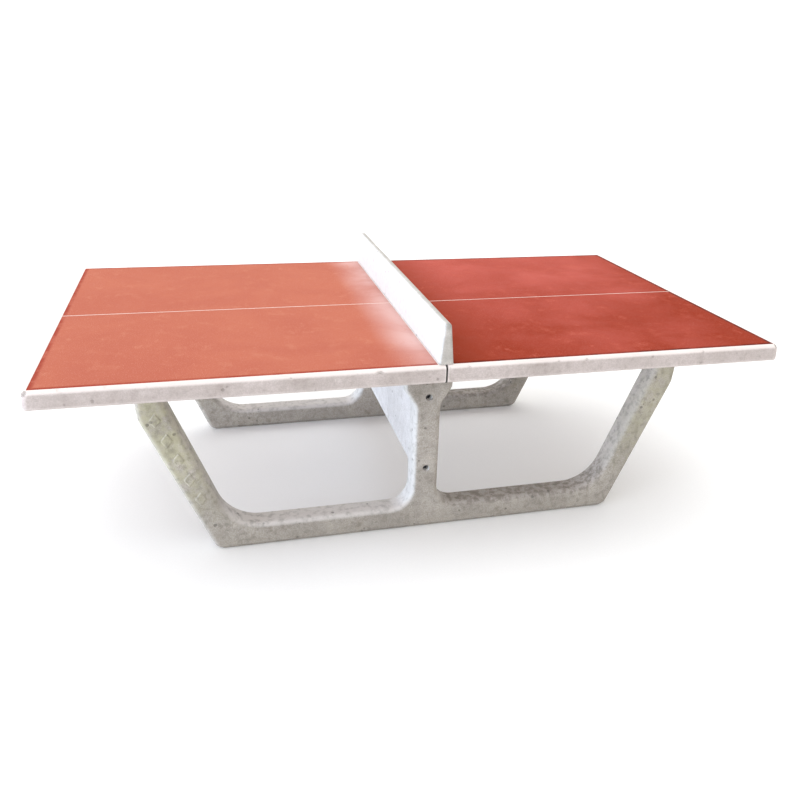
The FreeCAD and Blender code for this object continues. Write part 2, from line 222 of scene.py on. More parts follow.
# painted light: the cross wall gets a paler copy of the frames' concrete, standing in for the light from the
# left that reaches it under the table
litWallConcrete = castConcrete("wallConcretePaintedLit", {
    **concreteLook, "dark": "#CCCCCC", "light": "#DFDFDF", "mottleDepth": 0.12,
    "stain": "#B6B4B0", "bloom": "#E8E8E8", "sandColour": "#AFADA9",
    "growthDepth": 0.0, "soilDepth": 0.0, "grimeDepth": 0.0, "leftLightDepth": 0.0})
slabConcrete = castConcrete("whiteCementConcrete", whiteLook)
netConcrete = castConcrete("whiteNetConcrete", {
    **whiteLook, "dark": "#B9B4AD", "light": "#C8C3BD", "stain": "#A69F97",
    # painted light: the net's faces turned to the left are painted paler
    "bloom": "#D6D4CF", "leftLightColour": "#DFE1E0", "leftLightDepth": 0.85,
    "edgeAndTopLightColour": "#84857F", "wearDepth": 0.8, "runDepth": 0.3, "mottleDepth": 0.12,
    "armMottleDepth": 0.12, "topLightLow": 5.0, "topLightHigh": 6.0})


def redMineralTopping(name, look):
    # Hard topping: quartz sand and red oxide trowelled into the wet slab and ground flat.
    # The eye gets an even red with light grains in it, sun-faded clouds, ball scuffs and a dull sheen; a
    # painted sheen pales the rear, painted shade darkens the far end, and the foot of the net carries a painted
    # shadow on the right half and a painted glow on the left.
    material, tree, place = startMaterial(name)
    look = linearLook(look)
    # grains are really about 1 mm, drawn coarser so that they show; scuffs are drawn out along Y
    drawn = addNode(tree, "ShaderNodeMapping", {
        "Vector": place, "Rotation": (0.0, 0.0, 0.5), "Scale": (1.0, 0.35, 1.0)})
    clouds, patches, grains, swirl = (
        addNode(tree, "ShaderNodeTexNoise", {"Vector": where, "Scale": patternScale(size),
                                             "Detail": detail, "Roughness": rough, "Distortion": twist})
        for where, size, detail, rough, twist in (
            (place, 380.0, 4.0, 0.55, 0.6), (place, 60.0, 5.0, 0.6, 0.0),
            (place, 3.5, 1.0, 0.6, 0.0), (drawn, 90.0, 2.0, 0.5, 1.5)))
    spot = addNode(tree, "ShaderNodeSeparateXYZ", {0: place})
    outX, outY = (addNode(tree, "ShaderNodeMath", {0: spot.outputs[axis]}, operation="ABSOLUTE")
                  for axis in ("X", "Y"))
    # painted light: the rear is painted paler than the front as a painted sheen, sun-faded clouds lie over it,
    # and the far end is painted darker as painted shade
    fadedAndSheen, cloudy, shaded = (
        addNode(tree, "ShaderNodeMapRange", {0: pattern, 1: start, 2: end, 4: most}, **eased)
        for pattern, start, end, most in (
            (spot.outputs["Y"], -0.76, 0.76, look["rearSheen"]), (clouds, 0.3, 0.7, 1.0 - look["rearSheen"]),
            (spot.outputs["X"], 1.05, 1.37, -look["endShade"])))
    fadeAndLightShare = addNode(tree, "ShaderNodeMath", {0: fadedAndSheen, 1: cloudy}, operation="ADD")
    fadeAndLightShare = addNode(tree, "ShaderNodeMath", {0: fadeAndLightShare, 1: shaded}, operation="ADD", use_clamp=True)
    base = addNode(tree, "ShaderNodeMix", {0: fadeAndLightShare, 6: look["deep"], 7: look["fadedAndSheen"]}, data_type="RGBA")
    # how near the rim it is, from 25 mm inside it to 4 mm
    rimX, rimY = (addNode(tree, "ShaderNodeMapRange", {0: out, 1: rim - 0.025, 2: rim - 0.004}, **eased)
                  for out, rim in ((outX, look["rim"][0]), (outY, look["rim"][1])))
    rim = addNode(tree, "ShaderNodeMath", {0: rimX, 1: rimY}, operation="MAXIMUM")
    # ball scuffs: thin broken rings where the drawn-out noise crosses its middle
    middle = addNode(tree, "ShaderNodeMath", {0: swirl, 1: 0.5}, operation="SUBTRACT")
    middle = addNode(tree, "ShaderNodeMath", {0: middle}, operation="ABSOLUTE")
    colour = layOn(tree, base,
                   (patches, 0.5, 0.78, 0.35, look["dusty"]),
                   (grains, 0.58, 0.74, 0.5, look["grain"]),
                   (grains, 0.42, 0.28, 0.35, look["shadow"]),
                   # along the foot of the net: a painted shadow of the net on the right half, and chalky dust
                   # with a painted glow of light thrown back by the net on the left half
                   (outX, look["netFootShadeAndGlowReach"], 0.03,
                    (clouds, 0.25, 0.7, look["netFootShadeAndGlowDepth"] * 0.35, look["netFootShadeAndGlowDepth"]), look["netFootShadeAndGlow"]),
                   (middle, 0.012, 0.002, (patches, 0.5, 0.62, 0.0, 0.35), look["dusty"]),
                   # grime gathers round the rim
                   (rim, 0.0, 1.0, (patches, 0.35, 0.6, 0.3, look["rimDepth"]), look["rimColour"]))
    rough = addNode(tree, "ShaderNodeMapRange", {
        0: patches, 1: 0.3, 2: 0.7, 3: look["rough"], 4: look["rough"] + 0.14}, **eased)
    relief = addNode(tree, "ShaderNodeMath", {0: grains, 1: patches}, operation="ADD")
    finishMaterial(tree, colour, rough, relief, look["bump"], IOR=1.5, **{"Specular IOR Level": 0.12})
    return material


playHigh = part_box("right_playing_surface")[1]
# the right half: by the net's foot a painted shadow of the net, a paler rear as painted sheen and a darker far
# end as painted shade
rightRed = {
    "deep": "#902D12", "fadedAndSheen": "#BB594E", "dusty": "#BE6252",
    "grain": "#CA8171", "shadow": "#7B3430", "netFootShadeAndGlow": "#862904",
    "rimColour": "#46120E", "rim": (playHigh.x, playHigh.y), "rimDepth": 0.75,
    "netFootShadeAndGlowReach": 0.4, "netFootShadeAndGlowDepth": 1.0, "rough": 0.8, "rearSheen": 0.6, "endShade": 0.5, "bump": 0.0002,
}
rightTopping = redMineralTopping("redMineralTopping", rightRed)
# the left half is painted paler than the right, a painted sheen of the light from the left, and by the net a
# painted glow lies over chalky dust
leftTopping = redMineralTopping("leftRedToppingPaintedSheen", {
    **rightRed, "deep": "#B2614D", "fadedAndSheen": "#BA6B54", "dusty": "#C48069",
    "grain": "#D6A192", "shadow": "#9A4C3F", "netFootShadeAndGlow": "#D8B3AE",
    "netFootShadeAndGlowReach": 0.21, "netFootShadeAndGlowDepth": 1.0, "rearSheen": 0.3, "endShade": 0.0, "rimColour": "#8E2A1C"})


def smallPart(name, patterns, base, layers, shine, bump, **fixed):
    # a small part's finish: two patterns, each (size in mm, detail, roughness, twist), the colours laid
    # over the base by pattern number, and shine as the roughness where the first pattern is low and high
    material, tree, place = startMaterial(name)
    made = [addNode(tree, "ShaderNodeTexNoise", {"Vector": place, "Scale": patternScale(size), "Detail": detail,
                                                 "Roughness": rough, "Distortion": twist})
            for size, detail, rough, twist in patterns]
    colour = layOn(tree, hexColour(base), *((made[number], low, high, depth, hexColour(tint))
                                            for number, low, high, depth, tint in layers))
    rough = addNode(tree, "ShaderNodeMapRange", {0: made[0], 1: 0.3, 2: 0.7, 3: shine[0], 4: shine[1]}, **eased)
    finishMaterial(tree, colour, rough, made[1], bump, **fixed)
    return material


# Road-marking paint: cream, thick and chalky, worn through at the grains below
linePaint = smallPart("creamLinePaint", ((3.0, 2.0, 0.55, 0.0), (14.0, 4.0, 0.7, 0.0)), "#E2CFC6",
                      ((0, 0.3, 0.7, 1.0, "#F1E4DC"), (1, 0.5, 0.75, 0.6, "#D08D7B")),
                      (0.6, 0.78), 0.0002, IOR=1.5)
# Polyurethane sealant: gunned in and tooled, dark and slightly rubbery, with dust in its ripples
jointSealant = smallPart("polyurethaneSealant", ((18.0, 3.0, 0.5, 0.8), (4.0, 3.0, 0.7, 0.0)), "#26241F",
                         ((0, 0.3, 0.7, 1.0, "#3B3832"), (1, 0.55, 0.8, 0.5, "#7A7264")),
                         (0.5, 0.7), 0.0006, IOR=1.49)
# EPDM rubber sheet, cut to pads: matt black that weather has turned grey, with grit trodden in
padRubber = smallPart("epdmRubber", ((20.0, 4.0, 0.6, 0.0), (2.5, 2.0, 0.7, 0.0)), "#1F1F20",
                      ((0, 0.35, 0.7, 1.0, "#3A3A3A"), (1, 0.6, 0.8, 0.4, "#66645F")),
                      (0.65, 0.8), 0.0003, IOR=1.52)


def weatheredSteel(name, look):
    # steel with rust blooms over its skin; the skin's own pattern is crystals of zinc or flakes of scale
    material, tree, place = startMaterial(name)
    look = linearLook(look)
    rust = addNode(tree, "ShaderNodeTexNoise", {
        "Vector": place, "Scale": patternScale(look["rustSize"]), "Detail": 4.0, "Roughness": 0.7})
    crystals = addNode(tree, "ShaderNodeTexVoronoi", {
        "Vector": place, "Scale": patternScale(look["crystalSize"])})
    facet = addNode(tree, "ShaderNodeSeparateColor", {0: crystals.outputs["Color"]})
    rusty = addNode(tree, "ShaderNodeMapRange", {0: rust, 1: look["rustFrom"], 2: look["rustTo"]}, **eased)
    colour = layOn(tree, look["dark"], (facet, 0.0, 1.0, 1.0, look["light"]),
                   (rusty, 0.0, 1.0, 1.0, look["rust"]))
    rough = addNode(tree, "ShaderNodeMapRange", {0: rusty, 3: look["clean"], 4: 0.87}, **eased)
    metal = addNode(tree, "ShaderNodeMapRange", {0: rusty, 1: 0.2, 2: 0.9, 3: 1.0, 4: 0.1}, **eased)
    finishMaterial(tree, colour, rough, rust, 0.0003, Metallic=metal)
    return material


# Hot-dip galvanised steel: zinc crystals a few millimetres wide, dulled dark by damp and dirt, with rust
galvanisedSteel = weatheredSteel("hotDipGalvanisedSteel", {
    "dark": "#505153", "light": "#747678", "rust": "#4E3122",
    "rustSize": 9.0, "crystalSize": 5.0, "rustFrom": 0.56, "rustTo": 0.72, "clean": 0.45})
# Hot-rolled bar: blue-black mill scale, with orange rust bloom where it has flaked
reinforcingSteel = weatheredSteel("hotRolledBar", {
    "dark": "#33363A", "light": "#4A4C50", "rust": "#7B4428",
    "rustSize": 12.0, "crystalSize": 4.0, "rustFrom": 0.4, "rustTo": 0.6, "clean": 0.5})

for material, nodeNames in (
        (reinforcingSteel, ("right_slab_mesh", "left_slab_mesh", "net_rebar", "front_frame_cage",
                            "rear_frame_cage", "cross_wall_mesh")),
        (galvanisedSteel, ("net_studs", "net_stud_sockets", "wall_sockets", "slab_dowels")),
        (linePaint, ("right_centre_line", "left_centre_line")),
        (jointSealant, ("joint_seal",)), (padRubber, ("arm_pads", "column_pads"))):
    for nodeName in nodeNames:
        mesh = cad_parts[nodeName].data
        mesh.materials.clear()
        mesh.materials.append(material)
print("stage 2: materials made")


def newObject(name, data):
    made = bpy.data.objects.new(name, data)
    bpy.context.scene.collection.objects.link(made)
    return made


def meshFrom(name, points, faces):
    mesh = bpy.data.meshes.new(name)
    mesh.from_pydata([tuple(p) for p in points], [], faces)
    mesh.validate()
    return mesh


def turnOutward(mesh, merge=0.00001):
    shell = bmesh.new()
    shell.from_mesh(mesh)
    bmesh.ops.remove_doubles(shell, verts=shell.verts, dist=merge)
    bmesh.ops.recalc_face_normals(shell, faces=shell.faces)
    shell.to_mesh(mesh)
    shell.free()


def ringFaces(rings, count, capFirst=True, capLast=True):
    # faces that join rings of points one after the other, with a flat cap at each end
    faces = []
    for start in range(0, (rings - 1) * count, count):
        for i in range(count):
            j = (i + 1) % count
            faces.append((start + i, start + j, start + count + j, start + count + i))
    if capFirst:
        faces.append(tuple(range(count)))
    if capLast:
        faces.append(tuple((rings - 1) * count + i for i in range(count)))
    return faces


def loftedMesh(name, rings, *caps):
    points = [p for ring in rings for p in ring]
    mesh = meshFrom(name, points, ringFaces(len(rings), len(rings[0]), *caps))
    turnOutward(mesh)
    return mesh


def roundRing(radius, y, count=48):
    return [(radius * math.cos(2 * math.pi * i / count), y, radius * math.sin(2 * math.pi * i / count))
            for i in range(count)]


def socketOf(modifier, name):
    return next(item.identifier for item in modifier.node_group.interface.items_tree
                if item.item_type == "SOCKET" and item.in_out == "INPUT" and item.name == name)


def giveModifier(piece, tree, values):
    modifier = piece.modifiers.new(tree.name, "NODES")
    modifier.node_group = tree
    for name, value in values.items():
        modifier[socketOf(modifier, name)] = value


def bakeModifiers(piece):
    # the evaluated shape becomes the piece's own plain mesh
    bpy.context.view_layer.update()
    shaped = piece.evaluated_get(bpy.context.evaluated_depsgraph_get())
    mesh = bpy.data.meshes.new_from_object(shaped)
    piece.modifiers.clear()
    old = piece.data
    piece.data = mesh
    bpy.data.meshes.remove(old)
    mesh.name = piece.name


def placesOf(mesh):
    places = np.empty(len(mesh.vertices) * 3)
    mesh.vertices.foreach_get("co", places)
    return places.reshape(-1, 3)


def markWear(mesh, sharpest=0.008, rounds=2):
    # an attribute from 0 on flats to 1 on outward edges of this radius or sharper, in metres
    places = placesOf(mesh)
    count = len(places)
    normals = np.array([v.normal for v in mesh.vertices])
    ends = np.empty(len(mesh.edges) * 2, int)
    mesh.edges.foreach_get("vertices", ends)
    ends = np.concatenate([ends.reshape(-1, 2), ends.reshape(-1, 2)[:, ::-1]])
    step = places[ends[:, 1]] - places[ends[:, 0]]
    length = (step ** 2).sum(1) + 1e-12
    bend = -2 * (step * normals[ends[:, 0]]).sum(1) / length
    share = np.bincount(ends[:, 0], minlength=count) + 1e-9
    wear = np.bincount(ends[:, 0], bend, count) / share * sharpest
    for _ in range(rounds):
        wear = 0.5 * wear + 0.5 * np.bincount(ends[:, 0], wear[ends[:, 1]], count) / share
    attribute = mesh.attributes.new("wear", "FLOAT", "POINT")
    attribute.data.foreach_set("value", np.clip(wear, 0, 1).astype(np.float32))


def holdInside(mesh, nodeName):
    # no vertex leaves the CAD node's box
    low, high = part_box(nodeName)
    places = np.clip(placesOf(mesh), np.array(low), np.array(high))
    mesh.vertices.foreach_set("co", places.ravel())
    mesh.update()


def finishPiece(piece, sharpAngle, slotName, *nodes):
    # edges that turn more than this many degrees stay crisp
    piece.data.shade_smooth()
    piece.data.set_sharp_from_angle(angle=math.radians(sharpAngle))
    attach(piece, body)
    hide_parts(*nodes)


def startTree(name, *inputs):
    # a geometry tree whose named inputs, each with its kind of socket, come between geometry and finish
    tree = bpy.data.node_groups.new(name, "GeometryNodeTree")
    for label, kind in (("Geometry", "Geometry"), *inputs, ("Finish", "Material")):
        tree.interface.new_socket(label, in_out="INPUT", socket_type="NodeSocket" + kind)
    tree.interface.new_socket("Geometry", in_out="OUTPUT", socket_type="NodeSocketGeometry")
    return tree, addNode(tree, "NodeGroupInput").outputs


def endTree(tree, shape, finish):
    whole = addNode(tree, "GeometryNodeRealizeInstances", {0: shape})
    painted = addNode(tree, "GeometryNodeSetMaterial", {0: whole, "Material": finish})
    addNode(tree, "NodeGroupOutput", {0: painted})


def castSurfaceTree():
    # the skin of a casting: a slow swell of the mould and a fine sandy grain, both inward only
    tree, given = startTree("castSurface", ("Swell Size", "Float"), ("Swell Depth", "Float"),
                            ("Grain Size", "Float"), ("Grain Depth", "Float"), ("Seed", "Float"))
    place = addNode(tree, "GeometryNodeInputPosition")
    shares = []
    for size, depth in (("Swell Size", "Swell Depth"), ("Grain Size", "Grain Depth")):
        scale = addNode(tree, "ShaderNodeMath", {0: 1.0, 1: given[size]}, operation="DIVIDE")
        pattern = addNode(tree, "ShaderNodeTexNoise", {
            "Vector": place, "W": given["Seed"], "Scale": scale, "Detail": 2.0}, noise_dimensions="4D")
        inward = addNode(tree, "ShaderNodeMath", {0: pattern, 1: -1.0}, operation="MULTIPLY")
        shares.append(addNode(tree, "ShaderNodeMath", {0: inward, 1: given[depth]}, operation="MULTIPLY"))
    total = addNode(tree, "ShaderNodeMath", {0: shares[0], 1: shares[1]}, operation="ADD")
    normal = addNode(tree, "GeometryNodeInputNormal")
    push = addNode(tree, "ShaderNodeVectorMath", {0: normal, "Scale": total}, operation="SCALE")
    moved = addNode(tree, "GeometryNodeSetPosition", {"Geometry": given["Geometry"], "Offset": push})
    endTree(tree, moved, given["Finish"])
    return tree


def rowTree():
    # one shape repeated along a line on the front frame, and the same row half a turn round for the rear
    tree, given = startTree("rowOnBothFrames", ("Count", "Int"), ("First Place", "Vector"),
                            ("Last Place", "Vector"), ("Turn Spread", "Float"), ("Seed", "Int"))
    line = addNode(tree, "GeometryNodeMeshLine", {
        "Count": given["Count"], "Start Location": given["First Place"], "Offset": given["Last Place"]},
        mode="END_POINTS")
    least = addNode(tree, "ShaderNodeMath", {0: given["Turn Spread"], 1: -1.0}, operation="MULTIPLY")
    turn = addNode(tree, "FunctionNodeRandomValue", {
        2: least, 3: given["Turn Spread"], "Seed": given["Seed"]}, data_type="FLOAT").outputs[1]
    spin = addNode(tree, "ShaderNodeCombineXYZ", {1: turn})
    row = addNode(tree, "GeometryNodeInstanceOnPoints", {
        "Points": line, "Instance": given["Geometry"], "Rotation": spin})
    rear = addNode(tree, "GeometryNodeTransform", {"Geometry": row, "Rotation": (0.0, 0.0, math.pi)})
    both = addNode(tree, "GeometryNodeJoinGeometry")
    for part in (row, rear):
        tree.links.new(part.outputs[0], both.inputs[0])
    endTree(tree, both, given["Finish"])
    return tree


castSurface = castSurfaceTree()
rowOnBothFrames = rowTree()


def giveCastSkin(piece, sizes, seed, finish):
    giveModifier(piece, castSurface, {
        "Swell Size": sizes["swellSize"], "Swell Depth": sizes["swellDepth"], "Grain Size": sizes["grainSize"],
        "Grain Depth": sizes["grainDepth"], "Seed": seed, "Finish": finish})


frameSizes = {
    "voxel": 0.005, "smoothing": 14, "softness": 0.5, "halfThickness": 0.05, "seed": 3.0, "sharpAngle": 50,
    "swellSize": 0.16, "swellDepth": 0.0022, "grainSize": 0.014, "grainDepth": 0.0008,
    "recessDiameter": 0.026, "recessDepth": 0.032, "recessLip": 0.0025, "recessTaper": 0.002,
    "bolts": (0.256, 0.552), "boltBore": 0.0135,
    "dowels": (0.043, 1.036), "dowelBore": 0.0085, "dowelsAbove": 0.6, "footFlat": 0.003,
}


def outerShell(nodeName):
    # a merged copy of the node, without the hollows for bars inside it
    shell = bmesh.new()
    shell.from_mesh(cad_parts[nodeName].data)
    bmesh.ops.remove_doubles(shell, verts=shell.verts, dist=0.00001)
    left, islands = set(shell.verts), []
    while left:
        reached, edge = set(), [left.pop()]
        while edge:
            vertex = edge.pop()
            reached.add(vertex)
            for link in vertex.link_edges:
                other = link.other_vert(vertex)
                if other in left:
                    left.discard(other)
                    edge.append(other)
        islands.append(reached)
    widest = max(islands, key=lambda island: max(v.co.x for v in island) - min(v.co.x for v in island)
                 + max(v.co.z for v in island) - min(v.co.z for v in island))
    bmesh.ops.delete(shell, geom=[v for island in islands if island is not widest for v in island],
                     context="VERTS")
    return shell


def closeBores(shell, inBore):
    # takes away the walls of bores and closes their mouths flat
    walls = [face for face in shell.faces if all(inBore(v.co) for v in face.verts)]
    bmesh.ops.delete(shell, geom=walls, context="FACES")
    mouths = [edge for edge in shell.edges if edge.is_boundary]
    bmesh.ops.holes_fill(shell, edges=mouths, sides=0)
    bmesh.ops.recalc_face_normals(shell, faces=shell.faces)


def castFrame(nodeName, pieceName, side, sizes):
    low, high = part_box(nodeName)
    middle = (low + high) / 2
    faceY = side * (abs(middle.y) + sizes["halfThickness"])
    shell = outerShell(nodeName)
    for vertex in shell.verts:  # the raised lozenges go back into the face; they are a piece of their own
        if abs(vertex.co.y) > abs(faceY):
            vertex.co.y = faceY

    def inBore(place):
        around = any(math.hypot(place.x, place.z - z) < sizes["boltBore"] for z in sizes["bolts"])
        down = place.z > sizes["dowelsAbove"] and any(
            math.hypot(abs(place.x) - x, place.y - middle.y) < sizes["dowelBore"] for x in sizes["dowels"])
        return around or down
    closeBores(shell, inBore)
    mesh = bpy.data.meshes.new(pieceName)
    shell.to_mesh(mesh)
    shell.free()
    piece = newObject(pieceName, mesh)
    remesh = piece.modifiers.new("casting", "REMESH")
    remesh.mode = "VOXEL"
    remesh.voxel_size = sizes["voxel"]
    smooth = piece.modifiers.new("softEdges", "SMOOTH")
    smooth.factor = sizes["softness"]
    smooth.iterations = sizes["smoothing"]
    giveCastSkin(piece, sizes, sizes["seed"] + side, frameConcrete)
    bakeModifiers(piece)
    holdInside(piece.data, nodeName)
    for vertex in piece.data.vertices:  # the foot stands flat on the ground
        if vertex.co.z < low.z + sizes["footFlat"]:
            vertex.co.z = low.z
    markWear(piece.data)
    cutRecesses(piece, side, faceY, sizes)
    return piece


def cutRecesses(piece, side, faceY, sizes):
    # round recesses for the bolt heads, with a broken lip
    radius, depth, lip = sizes["recessDiameter"] / 2, sizes["recessDepth"], sizes["recessLip"]
    taper = sizes["recessTaper"]
    steps = [(radius + lip * 2, lip * 1.6), (radius + lip, 0.0), (radius + lip * 0.3, -lip * 0.7),
             (radius, -lip * 2), (radius, taper - depth), (radius - taper, -depth)]
    for z in sizes["bolts"]:
        rings = [roundRing(r, faceY + side * out) for r, out in steps]
        cutterMesh = loftedMesh("recessCutter", [[(x, y, z + up) for x, y, up in ring] for ring in rings])
        cutter = newObject("recessCutter", cutterMesh)
        cut = piece.modifiers.new("recess", "BOOLEAN")
        cut.operation = "DIFFERENCE"
        cut.solver = "EXACT"
        cut.object = cutter
        bakeModifiers(piece)
        bpy.data.objects.remove(cutter)
        bpy.data.meshes.remove(cutterMesh)
    piece.data.materials.clear()
    piece.data.materials.append(frameConcrete)


for nodeName, pieceName, side in (("front_frame", "frontFrameCasting", -1),
                                  ("rear_frame", "rearFrameCasting", 1)):
    piece = castFrame(nodeName, pieceName, side, frameSizes)
    finishPiece(piece, frameSizes["sharpAngle"], "frame_concrete", nodeName)
    print("stage 3:", pieceName, len(piece.data.polygons), "faces")


slabSizes = {
    "edgeRound": 0.015, "cornerRound": 0.020, "underBevel": 0.006, "border": 0.016,
    "recessDepth": 0.004, "jointShare": 0.12, "spacing": 0.007,
    "waviness": 0.0007, "chipCount": 34, "chipReach": (0.004, 0.013), "chipDepth": (0.0008, 0.0026),
    "cornerReach": (0.017, 0.012), "cornerDepth": (0.0045, 0.0030), "deepBite": 0.003, "seed": 11,
    "sharpAngle": 40,
}


def slabRing(low, high, side, inset, z, sizes, joint=None):
    # one closed ring round a half slab, moved in by inset on the free sides and much less at the joint
    joint = joint or min(abs(low.x), abs(high.x)) + inset * sizes["jointShare"]
    end = max(abs(low.x), abs(high.x))
    half = high.y
    corner = sizes["cornerRound"]
    radius = max(corner - inset, 0.003)
    centre = end - inset - radius
    centreY = half - inset - radius
    along = int((end - corner) / sizes["spacing"])
    across = int(2 * (half - corner) / sizes["spacing"])
    points = [(joint + (centre - joint) * i / along, -half + inset) for i in range(along)]
    turns = [(centre + radius * math.cos(a), -centreY + radius * math.sin(a))
             for a in np.linspace(-math.pi / 2, 0, 9)]
    points += turns
    points += [(end - inset, -centreY + 2 * centreY * i / across) for i in range(1, across)]
    points += [(x, -y) for x, y in reversed(turns)]
    points += [(joint + (centre - joint) * i / along, half - inset) for i in reversed(range(along))]
    points += [(joint, (half - inset) * (1 - 2 * i / across)) for i in range(1, across)]
    return [Vector((side * x, y, z)) for x, y in points]


def castSlab(nodeName, pieceName, side, sizes):
    low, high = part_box(nodeName)
    arc, under = sizes["edgeRound"], sizes["underBevel"]
    profile = [(under + 0.012, low.z), (under + 0.004, low.z), (under + 0.0012, low.z),
               (under - 0.0015, low.z + 0.0008)]
    profile += [(under * (1 - t), low.z + under * t) for t in (0.4, 0.75)]
    profile += [(0.0004, low.z + under + 0.001), (0, low.z + under + 0.004)]
    profile += [(0, low.z + under + 0.004 + (high.z - low.z - under - arc - 0.008) * t)
                for t in (0.25, 0.5, 0.75, 1)]
    upperArris = len(profile) + 2  # the ring, well up the round of the edge, that chips start from
    profile += [(arc * (1 - math.cos(a)), high.z - arc * (1 - math.sin(a)))
                for a in np.linspace(0, math.pi / 2, 9)]
    rings = [slabRing(low, high, side, inset, z, sizes) for inset, z in profile]
    # the seat of the topping starts beside the net, and the net's own seat stays whole
    start = min(abs(corner.x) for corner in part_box(nodeName.replace("slab", "playing_surface")))
    for back, drop in ((0.0003, 0.0001), (0.0, 0.0006), (-0.0002, sizes["recessDepth"])):
        rings.append(slabRing(low, high, side, sizes["border"] - back, high.z - drop, sizes, start - back))
    count = len(rings[0])
    draw = random.Random(sizes["seed"] + side)
    places = [Vector(rings[upperArris][draw.randrange(count)]) for _ in range(sizes["chipCount"])]
    chips = [(place, draw.uniform(*sizes["chipReach"]), draw.uniform(*sizes["chipDepth"])) for place in places]
    # the two outer corners are knocked more than the rest
    outerX = (high.x if side > 0 else low.x) - side * 0.006
    corners = (outerX, low.y + 0.006, high.z - 0.004), (outerX, high.y - 0.006, high.z - 0.006)
    chips += zip(map(Vector, corners), sizes["cornerReach"], sizes["cornerDepth"])
    centre = (low + high) / 2
    points, bites = [], []
    for ring in rings:
        for place in ring:
            bitten = 0.0
            spread = Vector((place.x - centre.x, place.y, 0)).normalized()
            wave = (math.sin(place.x * 9.1 + place.z * 40) + math.sin(place.y * 7.3 + 1.7)
                    + math.sin((place.x + place.y) * 23.0)) / 6 + 0.5
            edge = float(low.z + 0.002 < place.z < high.z - 0.002)
            moved = place - spread * sizes["waviness"] * wave * edge
            for spot, reach, depth in chips:
                away = (place - spot).length
                if away < reach:
                    ragged = 0.7 + 0.3 * math.sin(place.y * 900 + place.x * 1300 + place.z * 700)
                    bite = depth * (1 - (away / reach) ** 2) * ragged
                    moved -= spread * bite * 0.8 + Vector((0, 0, bite * 0.7))
                    bitten += bite
            points.append(moved)
            bites.append(min(1.0, bitten / sizes["deepBite"]))
    mesh = meshFrom(pieceName, points, ringFaces(len(rings), count))
    mesh.attributes.new("broken", "FLOAT", "POINT").data.foreach_set("value", bites)
    turnOutward(mesh)
    mesh.materials.append(slabConcrete)
    markWear(mesh, 0.012, 1)
    holdInside(mesh, nodeName)
    return newObject(pieceName, mesh)


toppingSizes = {
    "arris": 0.0012, "cornerRound": 0.004, "sink": 0.0003, "grid": 0.024, "unevenness": 0.0002,
    "depth": 0.0035, "sharpAngle": 60,
}


def stepsAcross(low, high, sizes):
    # even steps, with close ones at both ends for the arris
    arris = sizes["arris"]
    inner = np.linspace(low + arris, high - arris, int((high - low) / sizes["grid"]))[1:-1]
    return [low, low + arris * 0.3, low + arris, *inner, high - arris, high - arris * 0.3, high]


def castTopping(nodeName, pieceName, side, material, sizes):
    low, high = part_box(nodeName)
    xs, ys = stepsAcross(low.x, high.x, sizes), stepsAcross(low.y, high.y, sizes)
    arris, corner = sizes["arris"], sizes["cornerRound"]
    outerX = high.x if side > 0 else low.x
    points, faces = [], []
    for i, x in enumerate(xs):
        for j, y in enumerate(ys):
            rim = min(i, len(xs) - 1 - i, j, len(ys) - 1 - j)
            drop = {0: arris, 1: arris * 0.35}.get(rim, 0.0)
            wave = (math.sin(x * 6.1 + 0.4) + math.sin(y * 5.3 + x * 2.0)
                    + math.sin(y * 13.0 - x * 9.0)) / 3
            points.append([x, y, high.z - sizes["sink"] - drop + wave * sizes["unevenness"] * (rim > 1)])
    rows = len(ys)
    for point in points:  # rounds the two outer corners to the slab's own ring
        dx, dy = abs(point[0] - outerX), high.y - abs(point[1])
        if dx < corner and dy < corner:
            away = Vector((corner - dx, corner - dy))
            if away.length > corner:
                away = away.normalized() * corner
                point[0] = outerX - side * (corner - away.x)
                point[1] = math.copysign(high.y - corner + away.y, point[1])
    for i in range(len(xs) - 1):
        for j in range(rows - 1):
            faces.append((i * rows + j, (i + 1) * rows + j, (i + 1) * rows + j + 1, i * rows + j + 1))
    border = [i * rows for i in range(len(xs))] + [(len(xs) - 1) * rows + j for j in range(1, rows)]
    border += [i * rows + rows - 1 for i in reversed(range(len(xs) - 1))] + list(reversed(range(1, rows - 1)))
    base = len(points)
    points += [(points[k][0], points[k][1], high.z - sizes["depth"]) for k in border]
    for i in range(len(border)):
        j = (i + 1) % len(border)
        faces.append((border[i], border[j], base + j, base + i))
    faces.append(tuple(base + i for i in range(len(border))))
    mesh = meshFrom(pieceName, points, faces)
    turnOutward(mesh)
    mesh.materials.append(material)
    return newObject(pieceName, mesh)


for word, side, material in (("right", 1, rightTopping), ("left", -1, leftTopping)):
    slab = castSlab(word + "_slab", word + "HalfSlab", side, slabSizes)
    finishPiece(slab, slabSizes["sharpAngle"], "slab_concrete", word + "_slab")
    topping = castTopping(word + "_playing_surface", word + "RedTopping", side, material, toppingSizes)
    finishPiece(topping, toppingSizes["sharpAngle"], "red_topping", word + "_playing_surface")
    print("stage 4:", word, "half", len(slab.data.polygons), "and", len(topping.data.polygons), "faces")


netSizes = {
    "footWidth": 0.056, "topWidth": 0.031, "endRound": 0.012, "spacing": 0.008,
    "swellSize": 0.22, "swellDepth": 0.0016, "grainSize": 0.016, "grainDepth": 0.0005, "seed": 5.0,
    "sideSteps": 20, "sharpestEdge": 0.010, "sharpAngle": 50,
}
wallSizes = {
    "width": 0.060, "lowerBevel": 0.006, "arris": 0.002, "endRound": 0.0015, "spacing": 0.010,
    "swellSize": 0.25, "swellDepth": 0.0012, "grainSize": 0.016, "grainDepth": 0.0005, "seed": 8.0,
    "sideSteps": 44, "sharpestEdge": 0.010, "sharpAngle": 50,
}


